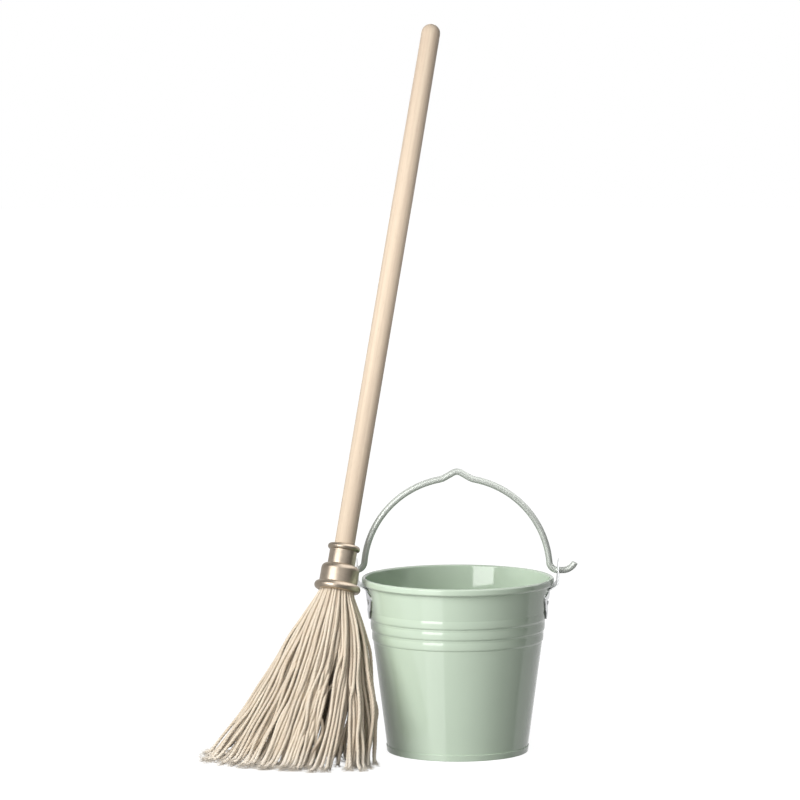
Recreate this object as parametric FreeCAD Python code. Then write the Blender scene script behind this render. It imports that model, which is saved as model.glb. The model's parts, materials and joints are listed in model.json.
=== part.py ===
import FreeCAD, Part
import math
import os

# Mop and bucket. Millimetres, +Z up. The origin is the centre of the bucket's foot, on the floor.
# The bucket's bail turns about the X axis direction, and the mop stands on its yarn at the bucket's -X side.

# ---- driving dimensions: bucket ----
FOOT_RADIUS = 104.0          # outer radius of the wall sheet, carried down to the floor
WALL_SLOPE = 0.1313          # growth of the wall's radius per unit of height
SHEET = 1.0                  # steel sheet
SEAM_GAP = 0.1               # paint film between sheets that lie on each other
RIM_HEIGHT = 260.0           # top of the rolled rim
RIM_ROLL = 3.0               # outer radius of the roll
RIM_SKIRT_END = 252.5        # height at which the roll's skirt turns in
RIM_TUCK = 3.5               # outer radius of the turn at the skirt's lower edge
RIM_TUCK_TURN = math.radians(-115)
RIM_WIRE_CLEARANCE = 0.05
CHIME_HEIGHT = 9.0           # folded seam that joins the bottom to the wall
BOTTOM_HEIGHT = 9.0          # upper face of the bottom sheet
BOTTOM_BEAD_RADIUS = 78.0    # stiffening bead pressed up in the bottom
BOTTOM_BEAD = (8.0, 1.5)     # its width and height
WALL_BEAD_FEET = (165.6, 181.8, 198.0)    # lower edges of the wall's three beads
WALL_BEAD = (13.0, 1.1)      # height along the wall, and how far it stands proud
WALL_BEAD_CREST = 3.0        # its crest lies low, this far above its lower edge
SIDE_SEAM_WIDTH = 10.0       # flattened lock seam down the back of the wall
SIDE_SEAM_PROUD = 0.8
SIDE_SEAM_ENDS = (2.0, 6.0)  # its distance above the chime and below the rim's skirt

# ---- driving dimensions: ears and bail ----
EAR_SHEET = 1.6
EAR_FOOT = 199.5             # lowest edge of the ear's plate
EAR_JOGGLE = 213.0           # the plate steps out over the top bead below this height
EAR_BEND = 243.5             # the ear leaves the wall here, to pass under the rim
EAR_ARM_SLOPE = math.radians(27.0)
EAR_BENDS = (3.0, 3.0, 4.0, 5.0)  # inner-side radii of its four bends, from the plate's foot up
EAR_PLATE = ((19.0, 206.5), (35.0, 231.0), (27.0, 234.0))  # half-width and height of its corners' centres
EAR_CORNER = 7.0             # radius of the plate's corners
EAR_NECK = (29.0, 239.0)     # half-width and height at which the sides begin to close in on the lug
LUG_INNER = 149.0            # distance of the lug's inner face from the bucket's axis
LUG_RADIUS = 17.5
LUG_HOLE_RADIUS = 5.6
RIVET_HEIGHT = 226.0
RIVET_TURN = 10.0            # degrees from the ear's middle to each rivet
RIVET_SHANK = 2.4
RIVET_HEAD = (4.6, 1.1)      # radius and height of the heads

PIVOT_HEIGHT = 270.0         # the bail's axis
BAIL_WIRE = 4.8              # wire radius
BAIL_SHIFT = -1.4            # the bail hangs to one side within its end play
BAIL_ARCH = 137.8            # radius of the bail's arch, centred on its axis
BAIL_NECK_BEND = 13.0        # bend that turns each leg outward to its lug
BAIL_HOOK_START = 157.0      # distance from the arch's centre where each hook begins to curl up
BAIL_HOOK_BEND = 20.0
BAIL_HOOK_TURN = math.radians(66.0)
BAIL_TIP_ROUND = 1.5
HUMP_START = 26.0            # half-width at which the arch leaves its circle for the hanging hump
HUMP_SLOPE = math.radians(30.0)
HUMP_CUP = 24.0              # radius of the hollow bend beside the hump
HUMP_CROWN = 12.0            # radius over the hump

# ---- driving dimensions: mop ----
LEAN_X = 0.1712              # run of the mop's axis per unit of height, along X
LEAN_Y = 0.28                # and along Y
AXIS_AT_PIVOT = (-175.0, -50.0)   # where the mop's axis passes the height of the bail's axis
MOP_LENGTH = 1131.0          # along the mop's axis, from the floor to the handle's tip
HANDLE_RADIUS = 15.0
HANDLE_TIP_RADIUS = 14.2
HANDLE_TAPER = 260.0         # length of the slight taper below the tip
SOCKET_GAP = 0.1

FERRULE_FOOT = 258.5         # distances along the mop's axis
CUP_BEAD = 6.5               # radius of the bead round the cup's mouth
CUP_BEAD_RADIUS = 34.5       # outermost radius of that bead
CUP_RADIUS = 28.3
CUP_TOP = 291.0              # the cup's side ends and its shoulder begins
NECK_RADIUS = 20.3
NECK_BEAD = 4.5
NECK_BEAD_RADIUS = 24.0      # outermost radius of the bead round the socket's mouth
FERRULE_TOP = 329.0
MOUTH_RADIUS = 26.8
CUP_BORE = 25.5
WEB = (286.0, 290.0)         # floor between the yarn cup and the handle socket

YARN_ROOT_GAP = 0.3
YARN_CORE = 12.4             # radius of the space in the root for the washer and the screw's head
WASHER = (12.0, 272.0, 2.0)  # radius, place and thickness
SCREW_HEAD = (5.5, 4.0)      # radius and height
SCREW_SLOT = (1.4, 1.6)      # width and depth
SCREW_SHANK = 2.5
SCREW_LENGTH = 58.0
TIE_WIRE = 0.8               # radius of the wire that binds the folded yarn
TIE_GROOVE = 1.3             # half-width of the groove that it presses in the yarn
TIE_PLACE = 265.0

FOOTPRINT_CENTRE = (-248.0, -109.0)
FOOTPRINT_HALF = (140.0, 78.0)    # half-length and half-width of the yarn's spread on the floor
FOOTPRINT_TURN = math.radians(-20.0)
WAIST_CENTRE = (-204.0, -90.0, 120.0)
WAIST_HALF = (86.0, 58.0)
YARN_SKIN = 13.0             # thickness of the standing curtain of yarn
LOCK_GAP = 0.4               # half the gap between neighbouring locks
LOCK_FACETS = 4
LOCK_NAMES = ("right", "back_right", "back", "back_left", "left", "front_left", "front", "front_right")

SLANT = math.atan(WALL_SLOPE)
SHEET_ACROSS = SHEET / math.cos(SLANT)     # the sheet measured along a radius


def vector(x, y, z):
    return FreeCAD.Vector(x, y, z)


def profile(points):
    """Closed face in the XZ half-plane. Each entry is (r, z), or ("via", r, z) for a point on an arc."""
    edges = []
    here = vector(points[0][0], 0, points[0][1])
    middle = None
    for entry in points[1:] + points[:1]:
        if entry[0] == "via":
            middle = vector(entry[1], 0, entry[2])
            continue
        there = vector(entry[0], 0, entry[1])
        if middle is not None:
            edges.append(Part.Arc(here, middle, there).toShape())
        elif here.distanceToPoint(there) > 1e-6:
            edges.append(Part.LineSegment(here, there).toShape())
        middle = None
        here = there
    return Part.Face(Part.Wire(edges))


def turned(points, angle=360.0):
    return profile(points).revolve(vector(0, 0, 0), vector(0, 0, 1), angle)


def save(name, shape):
    if not shape.isValid():
        raise ValueError(name + " isn't a valid solid")
    shape.exportStep("parts/" + name + ".step")


def half_turn(shape):
    """The same piece on the other side of the bucket."""
    copy = shape.copy()
    copy.rotate(vector(0, 0, 0), vector(0, 0, 1), 180)
    return copy


# ---- bucket ----

def wall_radius(z):
    """Outer radius of the plain wall at height z."""
    return FOOT_RADIUS + WALL_SLOPE * z


def beaded_side(offset, low, high):
    """The wall's side from low to high, with its beads, offset outward along a radius."""
    width, proud = WALL_BEAD

    def on_wall(z, share):
        return wall_radius(z) + offset + share * proud, z

    side = [on_wall(low, 0)]
    for foot in WALL_BEAD_FEET:
        crest = foot + WALL_BEAD_CREST
        top = foot + width
        side.append(on_wall(foot, 0))
        side.append(("via",) + on_wall((foot + crest) / 2, 0.75))
        side.append(on_wall(crest, 1))
        side.append(("via",) + on_wall((crest + top) / 2, 0.75))
        side.append(on_wall(top, 0))
    side.append(on_wall(high, 0))
    return side


def rim_centre():
    """Centre of the rim's roll, tangent to the wall."""
    inner = RIM_ROLL - SHEET
    z = RIM_HEIGHT - RIM_ROLL
    r = wall_radius(z + inner * math.sin(SLANT)) + inner * math.cos(SLANT)
    return r, z


def wall_blank():
    r, z = rim_centre()
    tuck_r = r + RIM_ROLL - RIM_TUCK
    end = RIM_TUCK_TURN

    def on(centre_r, centre_z, radius, angle):
        return centre_r + radius * math.cos(angle), centre_z + radius * math.sin(angle)

    wall_side = math.pi - SLANT
    outside = beaded_side(0.0, SHEET + SEAM_GAP, on(r, z, RIM_ROLL - SHEET, wall_side)[1])
    roll_inside = [("via",) + on(r, z, RIM_ROLL - SHEET, math.pi / 2),
                   on(r, z, RIM_ROLL - SHEET, 0),
                   on(tuck_r, RIM_SKIRT_END, RIM_TUCK - SHEET, 0),
                   ("via",) + on(tuck_r, RIM_SKIRT_END, RIM_TUCK - SHEET, end / 2),
                   on(tuck_r, RIM_SKIRT_END, RIM_TUCK - SHEET, end)]
    roll_outside = [on(tuck_r, RIM_SKIRT_END, RIM_TUCK, end),
                    ("via",) + on(tuck_r, RIM_SKIRT_END, RIM_TUCK, end / 2),
                    on(tuck_r, RIM_SKIRT_END, RIM_TUCK, 0),
                    on(r, z, RIM_ROLL, 0),
                    ("via",) + on(r, z, RIM_ROLL, math.pi / 2)]
    inside = beaded_side(-SHEET_ACROSS, SHEET + SEAM_GAP, on(r, z, RIM_ROLL, wall_side)[1])
    return turned(outside + roll_inside + roll_outside + inside[::-1])


def side_seam():
    """The flattened lock seam, which follows the wall's side over the beads."""
    low = CHIME_HEIGHT + SIDE_SEAM_ENDS[0]
    high = RIM_SKIRT_END - SIDE_SEAM_ENDS[1]
    proud = beaded_side(SIDE_SEAM_PROUD, low, high)
    buried = beaded_side(-SHEET_ACROSS / 2, low, high)
    half_angle = math.degrees(SIDE_SEAM_WIDTH / 2 / wall_radius((low + high) / 2))
    seam = turned(proud + buried[::-1], 2 * half_angle)
    seam.rotate(vector(0, 0, 0), vector(0, 0, 1), 90 - half_angle)
    return seam


def rivet_places():
    """Placements of the right-hand ear's rivets: each axis points outward, square to the wall."""
    outward = vector(math.cos(SLANT), 0, -math.sin(SLANT))
    base = vector(wall_radius(RIVET_HEIGHT), 0, RIVET_HEIGHT)
    middle = FreeCAD.Placement(base, FreeCAD.Rotation(vector(0, 0, 1), outward))
    up = vector(0, 0, 1)
    turns = [FreeCAD.Placement(vector(0, 0, 0), FreeCAD.Rotation(up, side * RIVET_TURN)) for side in (-1, 1)]
    return [turn.multiply(middle) for turn in turns]


def rivet_holes():
    holes = []
    for place in rivet_places():
        hole = Part.makeCylinder(RIVET_SHANK + SEAM_GAP, 20, vector(0, 0, -8))
        hole.Placement = place.multiply(hole.Placement)
        holes.append(hole)
    return Part.makeCompound(holes)


def bucket_wall():
    wall = wall_blank().fuse(side_seam())
    holes = rivet_holes()
    return wall.cut(holes).cut(half_turn(holes))


def bottom_outline():
    width, height = BOTTOM_BEAD
    top = BOTTOM_HEIGHT
    inner = -SHEET_ACROSS - SEAM_GAP           # outer face of the flange inside the wall
    outer = SEAM_GAP                           # inner face of the flange outside the wall

    def bead(z):
        return [(BOTTOM_BEAD_RADIUS - width / 2, z),
                ("via", BOTTOM_BEAD_RADIUS, z + height),
                (BOTTOM_BEAD_RADIUS + width / 2, z)]

    upper = [(0, top)] + bead(top) + [(wall_radius(top) + inner, top), (wall_radius(SHEET) + inner, SHEET)]
    turn_r = wall_radius(SHEET) + outer        # centre of the rounded turn under the wall's edge
    diagonal = SHEET * math.sqrt(0.5)
    chime = [(turn_r, SHEET),
             (wall_radius(CHIME_HEIGHT) + outer, CHIME_HEIGHT),
             ("via", wall_radius(CHIME_HEIGHT) + outer + SHEET / 2, CHIME_HEIGHT + SHEET / 2),
             (wall_radius(CHIME_HEIGHT) + outer + SHEET, CHIME_HEIGHT),
             (turn_r + SHEET, SHEET),
             ("via", turn_r + diagonal, SHEET - diagonal),
             (turn_r, 0)]
    under = [(wall_radius(0) + inner - SHEET, 0), (wall_radius(top - SHEET) + inner - SHEET, top - SHEET)]
    return upper + chime + under + bead(top - SHEET)[::-1] + [(0, top - SHEET)]


def rim_wire():
    r, z = rim_centre()
    wire = RIM_ROLL - SHEET - RIM_WIRE_CLEARANCE
    return Part.makeTorus(r, wire, vector(0, 0, z))


def bent_wire(points, radii):
    """Straight runs joined by tangent arcs, one radius for each inner point."""
    edges = []
    here = points[0]
    for before, corner, after, radius in zip(points, points[1:], points[2:], radii):
        back = (before - corner).normalize()
        ahead = (after - corner).normalize()
        half = back.getAngle(ahead) / 2
        start = corner + back * (radius / math.tan(half))
        end = corner + ahead * (radius / math.tan(half))
        centre = corner + (back + ahead).normalize() * (radius / math.sin(half))
        middle = centre + (corner - centre).normalize() * radius
        edges.append(Part.LineSegment(here, start).toShape())
        edges.append(Part.Arc(start, middle, end).toShape())
        here = end
    edges.append(Part.LineSegment(here, points[-1]).toShape())
    return edges


def bent_strip(points, radii, thickness):
    """Face of a bent sheet seen along +Y. The points run up its inner side, and it thickens to the right."""
    directions = [(after - before).normalize() for before, after in zip(points, points[1:])]
    normals = [vector(way.z, 0, -way.x) for way in directions]
    outer_points = [points[0] + normals[0] * thickness]
    outer_radii = []
    for corner, radius, before, after in zip(points[1:], radii, normals, normals[1:]):
        bisector = (before + after).normalize()
        outer_points.append(corner + bisector * (thickness / bisector.dot(before)))
        turns_right = before.cross(after).y > 0
        outer_radii.append(radius - thickness if turns_right else radius + thickness)
    outer_points.append(points[-1] + normals[-1] * thickness)
    edges = bent_wire(points, radii) + bent_wire(outer_points, outer_radii)
    edges.append(Part.LineSegment(points[0], outer_points[0]).toShape())
    edges.append(Part.LineSegment(points[-1], outer_points[-1]).toShape())
    return Part.Face(Part.Wire(Part.__sortEdges__(edges)))


def ear_outline():
    """Solid outline of the right-hand ear, along X: a wide plate, and a neck that closes in on the lug."""
    near = LUG_INNER / 2
    depth = LUG_INNER

    def prism(points):
        mirrored = [(-across, height) for across, height in reversed(points)]
        corners = [vector(near, across, height) for across, height in points + mirrored]
        return Part.Face(Part.makePolygon(corners + corners[:1]))

    plate = prism(list(EAR_PLATE)).makeOffset2D(EAR_CORNER).extrude(vector(depth, 0, 0))
    across, height = EAR_NECK
    rise = height - PIVOT_HEIGHT
    touch = math.atan2(rise, across) + math.acos(LUG_RADIUS / math.hypot(across, rise))
    tangent = (LUG_RADIUS * math.cos(touch), PIVOT_HEIGHT + LUG_RADIUS * math.sin(touch))
    neck = prism([EAR_PLATE[-1], EAR_NECK, tangent]).extrude(vector(depth, 0, 0))
    lug = Part.makeCylinder(LUG_RADIUS, depth, vector(near, 0, PIVOT_HEIGHT), vector(1, 0, 0))
    return plate.fuse([neck, lug])


def ear_right():
    """Pressed sheet that follows the wall: plate, step over the top bead, arm under the rim, and lug."""
    proud = WALL_BEAD[1] + SEAM_GAP
    step_low = EAR_JOGGLE - 2.0
    step_high = EAR_JOGGLE + 2.0
    plate_low = EAR_FOOT - 1.0
    wall_side = wall_radius(EAR_BEND) + SEAM_GAP
    arm_rise = (LUG_INNER - wall_side) * math.tan(EAR_ARM_SLOPE)
    points = [vector(wall_radius(plate_low) + proud, 0, plate_low),
              vector(wall_radius(step_low) + proud, 0, step_low),
              vector(wall_radius(step_high) + SEAM_GAP, 0, step_high),
              vector(wall_side, 0, EAR_BEND),
              vector(LUG_INNER, 0, EAR_BEND + arm_rise),
              vector(LUG_INNER, 0, PIVOT_HEIGHT + LUG_RADIUS + 1.0)]
    half_angle = 30.0
    pressed = bent_strip(points, EAR_BENDS, EAR_SHEET).revolve(vector(0, 0, 0), vector(0, 0, 1), 2 * half_angle)
    pressed.rotate(vector(0, 0, 0), vector(0, 0, 1), -half_angle)
    hole = Part.makeCylinder(LUG_HOLE_RADIUS, 2 * LUG_INNER, vector(0, 0, PIVOT_HEIGHT), vector(1, 0, 0))
    ear = pressed.common(ear_outline()).cut(hole).cut(rivet_holes())
    return ear.Solids[0]


def ear_rivets_right():
    """Two rivets: a low head on the plate, a shank, and a closed head inside the wall."""
    radius, height = RIVET_HEAD
    outside = SEAM_GAP + EAR_SHEET
    inside = -SHEET - SEAM_GAP
    outline = [(0, inside - height),
               (radius * 0.6, inside - height),
               ("via", radius * 0.9, inside - height * 0.7),
               (radius, inside),
               (RIVET_SHANK, inside),
               (RIVET_SHANK, outside),
               (radius, outside),
               ("via", radius * 0.9, outside + height * 0.7),
               (radius * 0.6, outside + height),
               (0, outside + height)]
    rivets = []
    for place in rivet_places():
        rivet = turned(outline)
        rivet.Placement = place
        rivets.append(rivet)
    return Part.makeCompound(rivets)


# ---- bail ----

def walk(start, moves):
    """Edges in the XZ plane from start, heading +X. A move is a run (length,) or a turn (radius, angle)."""
    here = start
    heading = 0.0
    edges = []

    def ahead(angle):
        return vector(math.cos(angle), 0, math.sin(angle))

    for move in moves:
        if len(move) == 1:
            there = here + ahead(heading) * move[0]
            edges.append(Part.LineSegment(here, there).toShape())
        else:
            radius, turn = move
            side = math.copysign(math.pi / 2, turn)
            centre = here + ahead(heading + side) * radius
            middle = centre - ahead(heading + side + turn / 2) * radius
            there = centre - ahead(heading + side + turn) * radius
            edges.append(Part.Arc(here, middle, there).toShape())
            heading += turn
        here = there
    return edges, here, ahead(heading)


def bail():
    """Wire arch with a hanging hump at its crown and a hooked neck at each end."""
    leave = math.asin(HUMP_START / BAIL_ARCH)              # slope of the arch where the hump begins
    neck = math.asin(BAIL_NECK_BEND / (BAIL_ARCH + BAIL_NECK_BEND))
    hump_run_x = HUMP_START + (math.sin(leave) - math.sin(HUMP_SLOPE)) * HUMP_CUP
    hump_run_x -= HUMP_CROWN * math.sin(HUMP_SLOPE)
    arch_rise = BAIL_ARCH * math.cos(leave)
    cup_rise = (math.cos(leave) - math.cos(HUMP_SLOPE)) * HUMP_CUP
    crown_rise = (1 - math.cos(HUMP_SLOPE)) * HUMP_CROWN
    crown = PIVOT_HEIGHT + arch_rise + cup_rise + hump_run_x * math.tan(HUMP_SLOPE) + crown_rise
    neck_end_x = (BAIL_ARCH + BAIL_NECK_BEND) * math.cos(neck)
    moves = [(HUMP_CROWN, -HUMP_SLOPE),
             (hump_run_x / math.cos(HUMP_SLOPE),),
             (HUMP_CUP, HUMP_SLOPE - leave),
             (BAIL_ARCH, leave + neck - math.pi / 2),
             (BAIL_NECK_BEND, math.pi / 2 - neck),
             (BAIL_HOOK_START - neck_end_x,),
             (BAIL_HOOK_BEND, BAIL_HOOK_TURN)]
    right, tip, heading = walk(vector(0, 0, crown), moves)
    middle = vector(0, 0, 0)
    left = [edge.mirror(middle, vector(1, 0, 0)) for edge in reversed(right)]
    path = Part.Wire(Part.__sortEdges__(left + right))
    ends = [vertex.Point for vertex in path.OrderedVertexes]
    section = Part.Wire(Part.makeCircle(BAIL_WIRE, tip, heading))
    if ends[0].distanceToPoint(tip) > 0.01:
        section = section.mirror(middle, vector(1, 0, 0))
    wire = path.makePipeShell([section], True, False)
    tip_edges = [edge for edge in wire.Edges if abs(abs(edge.CenterOfMass.x) - tip.x) < 0.01]
    finished = wire.makeFillet(BAIL_TIP_ROUND, tip_edges)
    finished.translate(vector(BAIL_SHIFT, 0, 0))
    return finished


# ---- mop ----

def mop_direction():
    return vector(LEAN_X, LEAN_Y, 1).normalize()


def mop_foot():
    """Where the mop's axis meets the floor."""
    return vector(AXIS_AT_PIVOT[0] - LEAN_X * PIVOT_HEIGHT, AXIS_AT_PIVOT[1] - LEAN_Y * PIVOT_HEIGHT, 0)


def lean(shape):
    """Moves a piece made on the Z axis onto the mop's axis."""
    placement = FreeCAD.Placement(mop_foot(), FreeCAD.Rotation(vector(0, 0, 1), mop_direction()))
    shape.Placement = placement.multiply(shape.Placement)
    return shape


def mop_handle():
    low = WEB[1] + SOCKET_GAP
    chamfer = 1.0
    dome = MOP_LENGTH - HANDLE_TIP_RADIUS
    diagonal = HANDLE_TIP_RADIUS * math.sqrt(0.5)
    dowel = turned([(0, low),
                    (HANDLE_RADIUS - chamfer, low),
                    (HANDLE_RADIUS, low + chamfer),
                    (HANDLE_RADIUS, dome - HANDLE_TAPER),
                    (HANDLE_TIP_RADIUS, dome),
                    ("via", diagonal, dome + diagonal),
                    (0, MOP_LENGTH)])
    pilot = screw_hole(SCREW_LENGTH)
    return lean(dowel.cut(pilot))


def screw_hole(length):
    top = screw_seat() + length + SOCKET_GAP
    return Part.makeCylinder(SCREW_SHANK + SOCKET_GAP, top, vector(0, 0, 0))


def screw_seat():
    """The upper face of the screw's head, which bears on the washer."""
    return WASHER[1]


def ferrule():
    """One cast sleeve: a cup for the yarn below, a web, and a socket for the handle above."""
    lip = 0.8
    bead_r = CUP_BEAD_RADIUS - CUP_BEAD
    bead_z = FERRULE_FOOT + CUP_BEAD
    bead_top = bead_z + math.sqrt(CUP_BEAD ** 2 - (CUP_RADIUS - bead_r) ** 2)
    shoulder = CUP_RADIUS - NECK_RADIUS
    neck_bead_r = NECK_BEAD_RADIUS - NECK_BEAD
    neck_bead_z = FERRULE_TOP - NECK_BEAD
    neck_top = neck_bead_z - math.sqrt(NECK_BEAD ** 2 - (NECK_RADIUS - neck_bead_r) ** 2)
    socket = HANDLE_RADIUS + SOCKET_GAP
    diagonal = math.sqrt(0.5)
    outside = [(MOUTH_RADIUS + lip, FERRULE_FOOT),
               (bead_r, FERRULE_FOOT),
               ("via", bead_r + CUP_BEAD, bead_z),
               (CUP_RADIUS, bead_top),
               (CUP_RADIUS, CUP_TOP),
               ("via", NECK_RADIUS + shoulder * diagonal, CUP_TOP + shoulder * diagonal),
               (NECK_RADIUS, CUP_TOP + shoulder),
               (NECK_RADIUS, neck_top),
               ("via", NECK_BEAD_RADIUS, neck_bead_z),
               (neck_bead_r, FERRULE_TOP)]
    inside = [(socket + lip, FERRULE_TOP),
              (socket, FERRULE_TOP - lip),
              (socket, WEB[1]),
              (SCREW_SHANK + SOCKET_GAP, WEB[1]),
              (SCREW_SHANK + SOCKET_GAP, WEB[0]),
              (CUP_BORE, WEB[0]),
              (CUP_BORE, bead_z),
              (MOUTH_RADIUS, FERRULE_FOOT + lip)]
    return lean(turned(outside + inside))


def head_screw():
    radius, height = SCREW_HEAD
    seat = screw_seat()
    point = seat + SCREW_LENGTH
    taper = 3 * SCREW_SHANK
    screw = turned([(0, seat - height),
                    (radius * 0.7, seat - height),
                    ("via", radius * 0.94, seat - height * 0.7),
                    (radius, seat - height * 0.2),
                    (radius, seat),
                    (SCREW_SHANK, seat),
                    (SCREW_SHANK, point - taper),
                    (0, point)])
    width, depth = SCREW_SLOT
    slot = Part.makeBox(2 * radius, width, depth, vector(-radius, -width / 2, seat - height))
    return lean(screw.cut(slot))


def head_washer():
    radius, low, thickness = WASHER
    disc = Part.makeCylinder(radius, thickness, vector(0, 0, low))
    return lean(disc.cut(screw_hole(SCREW_LENGTH)))


def yarn_root():
    """The folded yarn inside the cup: a pad over the washer and a ring around it, waisted by the tie."""
    outer = CUP_BORE - YARN_ROOT_GAP
    pad_low = WASHER[1] + WASHER[2]
    groove = 2 * TIE_WIRE + SOCKET_GAP
    hole = SCREW_SHANK + 2 * SOCKET_GAP
    return lean(turned([(YARN_CORE, FERRULE_FOOT),
                        (outer, FERRULE_FOOT),
                        (outer, TIE_PLACE - TIE_GROOVE),
                        ("via", outer - groove, TIE_PLACE),
                        (outer, TIE_PLACE + TIE_GROOVE),
                        (outer, WEB[0]),
                        (hole, WEB[0]),
                        (hole, pad_low),
                        (YARN_CORE, pad_low)]))


def yarn_tie():
    middle = CUP_BORE - YARN_ROOT_GAP - TIE_WIRE
    return lean(Part.makeTorus(middle, TIE_WIRE, vector(0, 0, TIE_PLACE)))


def floor_spread(angle, centre, half, height, inset):
    """Point of a level, turned ellipse in the direction angle, moved inward by inset."""
    across = angle - FOOTPRINT_TURN
    long, short = half
    radius = long * short / math.hypot(short * math.cos(across), long * math.sin(across)) - inset
    return vector(centre[0] + radius * math.cos(angle), centre[1] + radius * math.sin(angle), height)


def yarn_lock(number):
    """One eighth of the curtain of yarn, from the cup's mouth to the floor."""
    step = 2 * math.pi / len(LOCK_NAMES)
    outer = CUP_BORE - YARN_ROOT_GAP
    side_x = vector(1, 0, 0).cross(mop_direction()).normalize()
    axis_x = mop_direction().cross(side_x)
    mouth = mop_foot() + mop_direction() * FERRULE_FOOT

    def section(place):
        """Closed outline through place(angle, inset), drawn in at both sides from its neighbours."""
        angles = [(number - 0.5 + k / LOCK_FACETS) * step for k in range(LOCK_FACETS + 1)]
        outside = [place(angle, 0) for angle in angles]
        inside = [place(angle, YARN_SKIN) for angle in angles]
        draw_in = (outside[-1] - outside[0]).normalize() * LOCK_GAP
        for side in (outside, inside):
            side[0] += draw_in
            side[-1] -= draw_in
        return Part.makePolygon(outside + inside[::-1] + outside[:1])

    def at_mouth(angle, inset):
        radius = outer - inset * (outer - YARN_CORE) / YARN_SKIN
        return mouth + axis_x * (radius * math.cos(angle)) - side_x * (radius * math.sin(angle))

    def at_waist(angle, inset):
        return floor_spread(angle, WAIST_CENTRE, WAIST_HALF, WAIST_CENTRE[2], inset)

    def on_floor(angle, inset):
        return floor_spread(angle, FOOTPRINT_CENTRE, FOOTPRINT_HALF, 0, inset)

    return Part.makeLoft([section(on_floor), section(at_waist), section(at_mouth)], True, True)


def main():
    os.makedirs("parts", exist_ok=True)
    save("bucket_wall", bucket_wall())
    save("bucket_bottom", turned(bottom_outline()))
    save("rim_wire", rim_wire())
    save("ear_right", ear_right())
    save("ear_left", half_turn(ear_right()))
    save("ear_rivets_right", ear_rivets_right())
    save("ear_rivets_left", half_turn(ear_rivets_right()))
    save("bail", bail())
    save("mop_handle", mop_handle())
    save("ferrule", ferrule())
    save("head_screw", head_screw())
    save("head_washer", head_washer())
    save("yarn_root", yarn_root())
    save("yarn_tie", yarn_tie())
    for number, name in enumerate(LOCK_NAMES):
        save("yarn_lock_" + name, yarn_lock(number))


main()
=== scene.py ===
import json
import math

import bpy
import numpy as np
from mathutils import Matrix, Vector


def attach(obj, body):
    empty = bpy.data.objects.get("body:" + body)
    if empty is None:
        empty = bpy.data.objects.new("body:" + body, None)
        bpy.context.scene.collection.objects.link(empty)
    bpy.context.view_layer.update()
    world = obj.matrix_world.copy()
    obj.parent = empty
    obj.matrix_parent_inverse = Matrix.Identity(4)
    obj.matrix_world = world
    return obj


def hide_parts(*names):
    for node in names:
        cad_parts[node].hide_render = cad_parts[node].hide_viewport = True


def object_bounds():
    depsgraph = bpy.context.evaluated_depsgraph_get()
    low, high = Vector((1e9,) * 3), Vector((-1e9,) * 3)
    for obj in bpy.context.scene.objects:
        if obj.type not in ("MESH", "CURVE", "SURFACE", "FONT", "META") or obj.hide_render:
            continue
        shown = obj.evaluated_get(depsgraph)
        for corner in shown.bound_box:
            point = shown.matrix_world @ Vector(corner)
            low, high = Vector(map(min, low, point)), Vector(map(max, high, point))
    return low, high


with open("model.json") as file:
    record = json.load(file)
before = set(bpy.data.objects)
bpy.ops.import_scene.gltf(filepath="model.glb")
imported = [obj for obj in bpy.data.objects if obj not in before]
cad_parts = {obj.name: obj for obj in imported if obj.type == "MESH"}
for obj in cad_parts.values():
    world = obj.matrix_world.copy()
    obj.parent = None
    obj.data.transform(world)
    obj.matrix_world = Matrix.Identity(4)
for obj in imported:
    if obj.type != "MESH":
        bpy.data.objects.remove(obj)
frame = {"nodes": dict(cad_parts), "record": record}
cad_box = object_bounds()

# A mop standing beside an enamelled bucket. Metres, in the frame's own axes: +Z up, -Y to the viewer.

# ---- camera ----
CAMERA_PLACE = (-0.0858, -7.14, 1.22)
CAMERA_PITCH = math.radians(5.57)        # looking down
CAMERA_LENS = 218.2                      # mm, on a sensor 36 mm wide
SENSOR_WIDTH = 36.0

# ---- light: azimuth is measured from the viewer's side, positive to +X ----
KEY_AZIMUTH = math.radians(-42)
KEY_ELEVATION = math.radians(29)
KEY_DISTANCE = 2.2
KEY_SIZE = (1.4, 1.8)
KEY_POWER = 52.0
FILL_AZIMUTH = math.radians(-4)
FILL_ELEVATION = math.radians(-3)
FILL_DISTANCE = 2.4
FILL_SIZE = (1.6, 0.5)
FILL_POWER = 12.5
RIM_AZIMUTH = math.radians(28)           # a narrow light for the handle's dark side
RIM_DISTANCE = 1.6
RIM_HEIGHT = 0.77
RIM_SIZE = (0.25, 0.25)
RIM_POWER = 0.30
RIM_SPREAD = math.radians(34)
TOP_HEIGHT = 2.4
TOP_SIZE = (1.8, 1.8)
TOP_POWER = 1.5
TARGET_HEIGHT = 0.6                      # where the lights aim, as a share of the model's middle height
# The studio as glossy surfaces see it: each table holds (azimuth in degrees, level).
SOFTBOX = ((-95, 0.0), (-80, 0.12), (-64, 0.28), (-49, 0.42), (-47.5, 1.0), (-20.5, 1.0), (-19.5, 0.0))
SOFTBOX_RADIANCE = 1.2
WINDOW = ((-180, 0.0), (-48.5, 0.0), (-47.5, 1.0), (-20.5, 1.0), (-19.5, 0.0), (180, 0.0))
WINDOW_RADIANCE = 6.2
WINDOW_ABOVE = ((-180, 0.0), (-68, 0.0), (-64, 0.8), (-48, 1.0), (-19, 1.0), (-17, 0.0), (180, 0.0))
WINDOW_WIDENS = 9.0                      # elevation above which the window is wider
WINDOW_FROM = -7.0                       # elevation in degrees, the softbox lies under it
WINDOW_EDGE = 1.0                        # each edge below is half the width of its soft step, in degrees
SURROUND = ((-180, 0.75), (-100, 0.58), (-40, 0.45), (0, 0.40), (75, 0.20), (77, 0.06), (102, 0.06),
            (106, 0.85), (180, 0.85))
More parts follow.
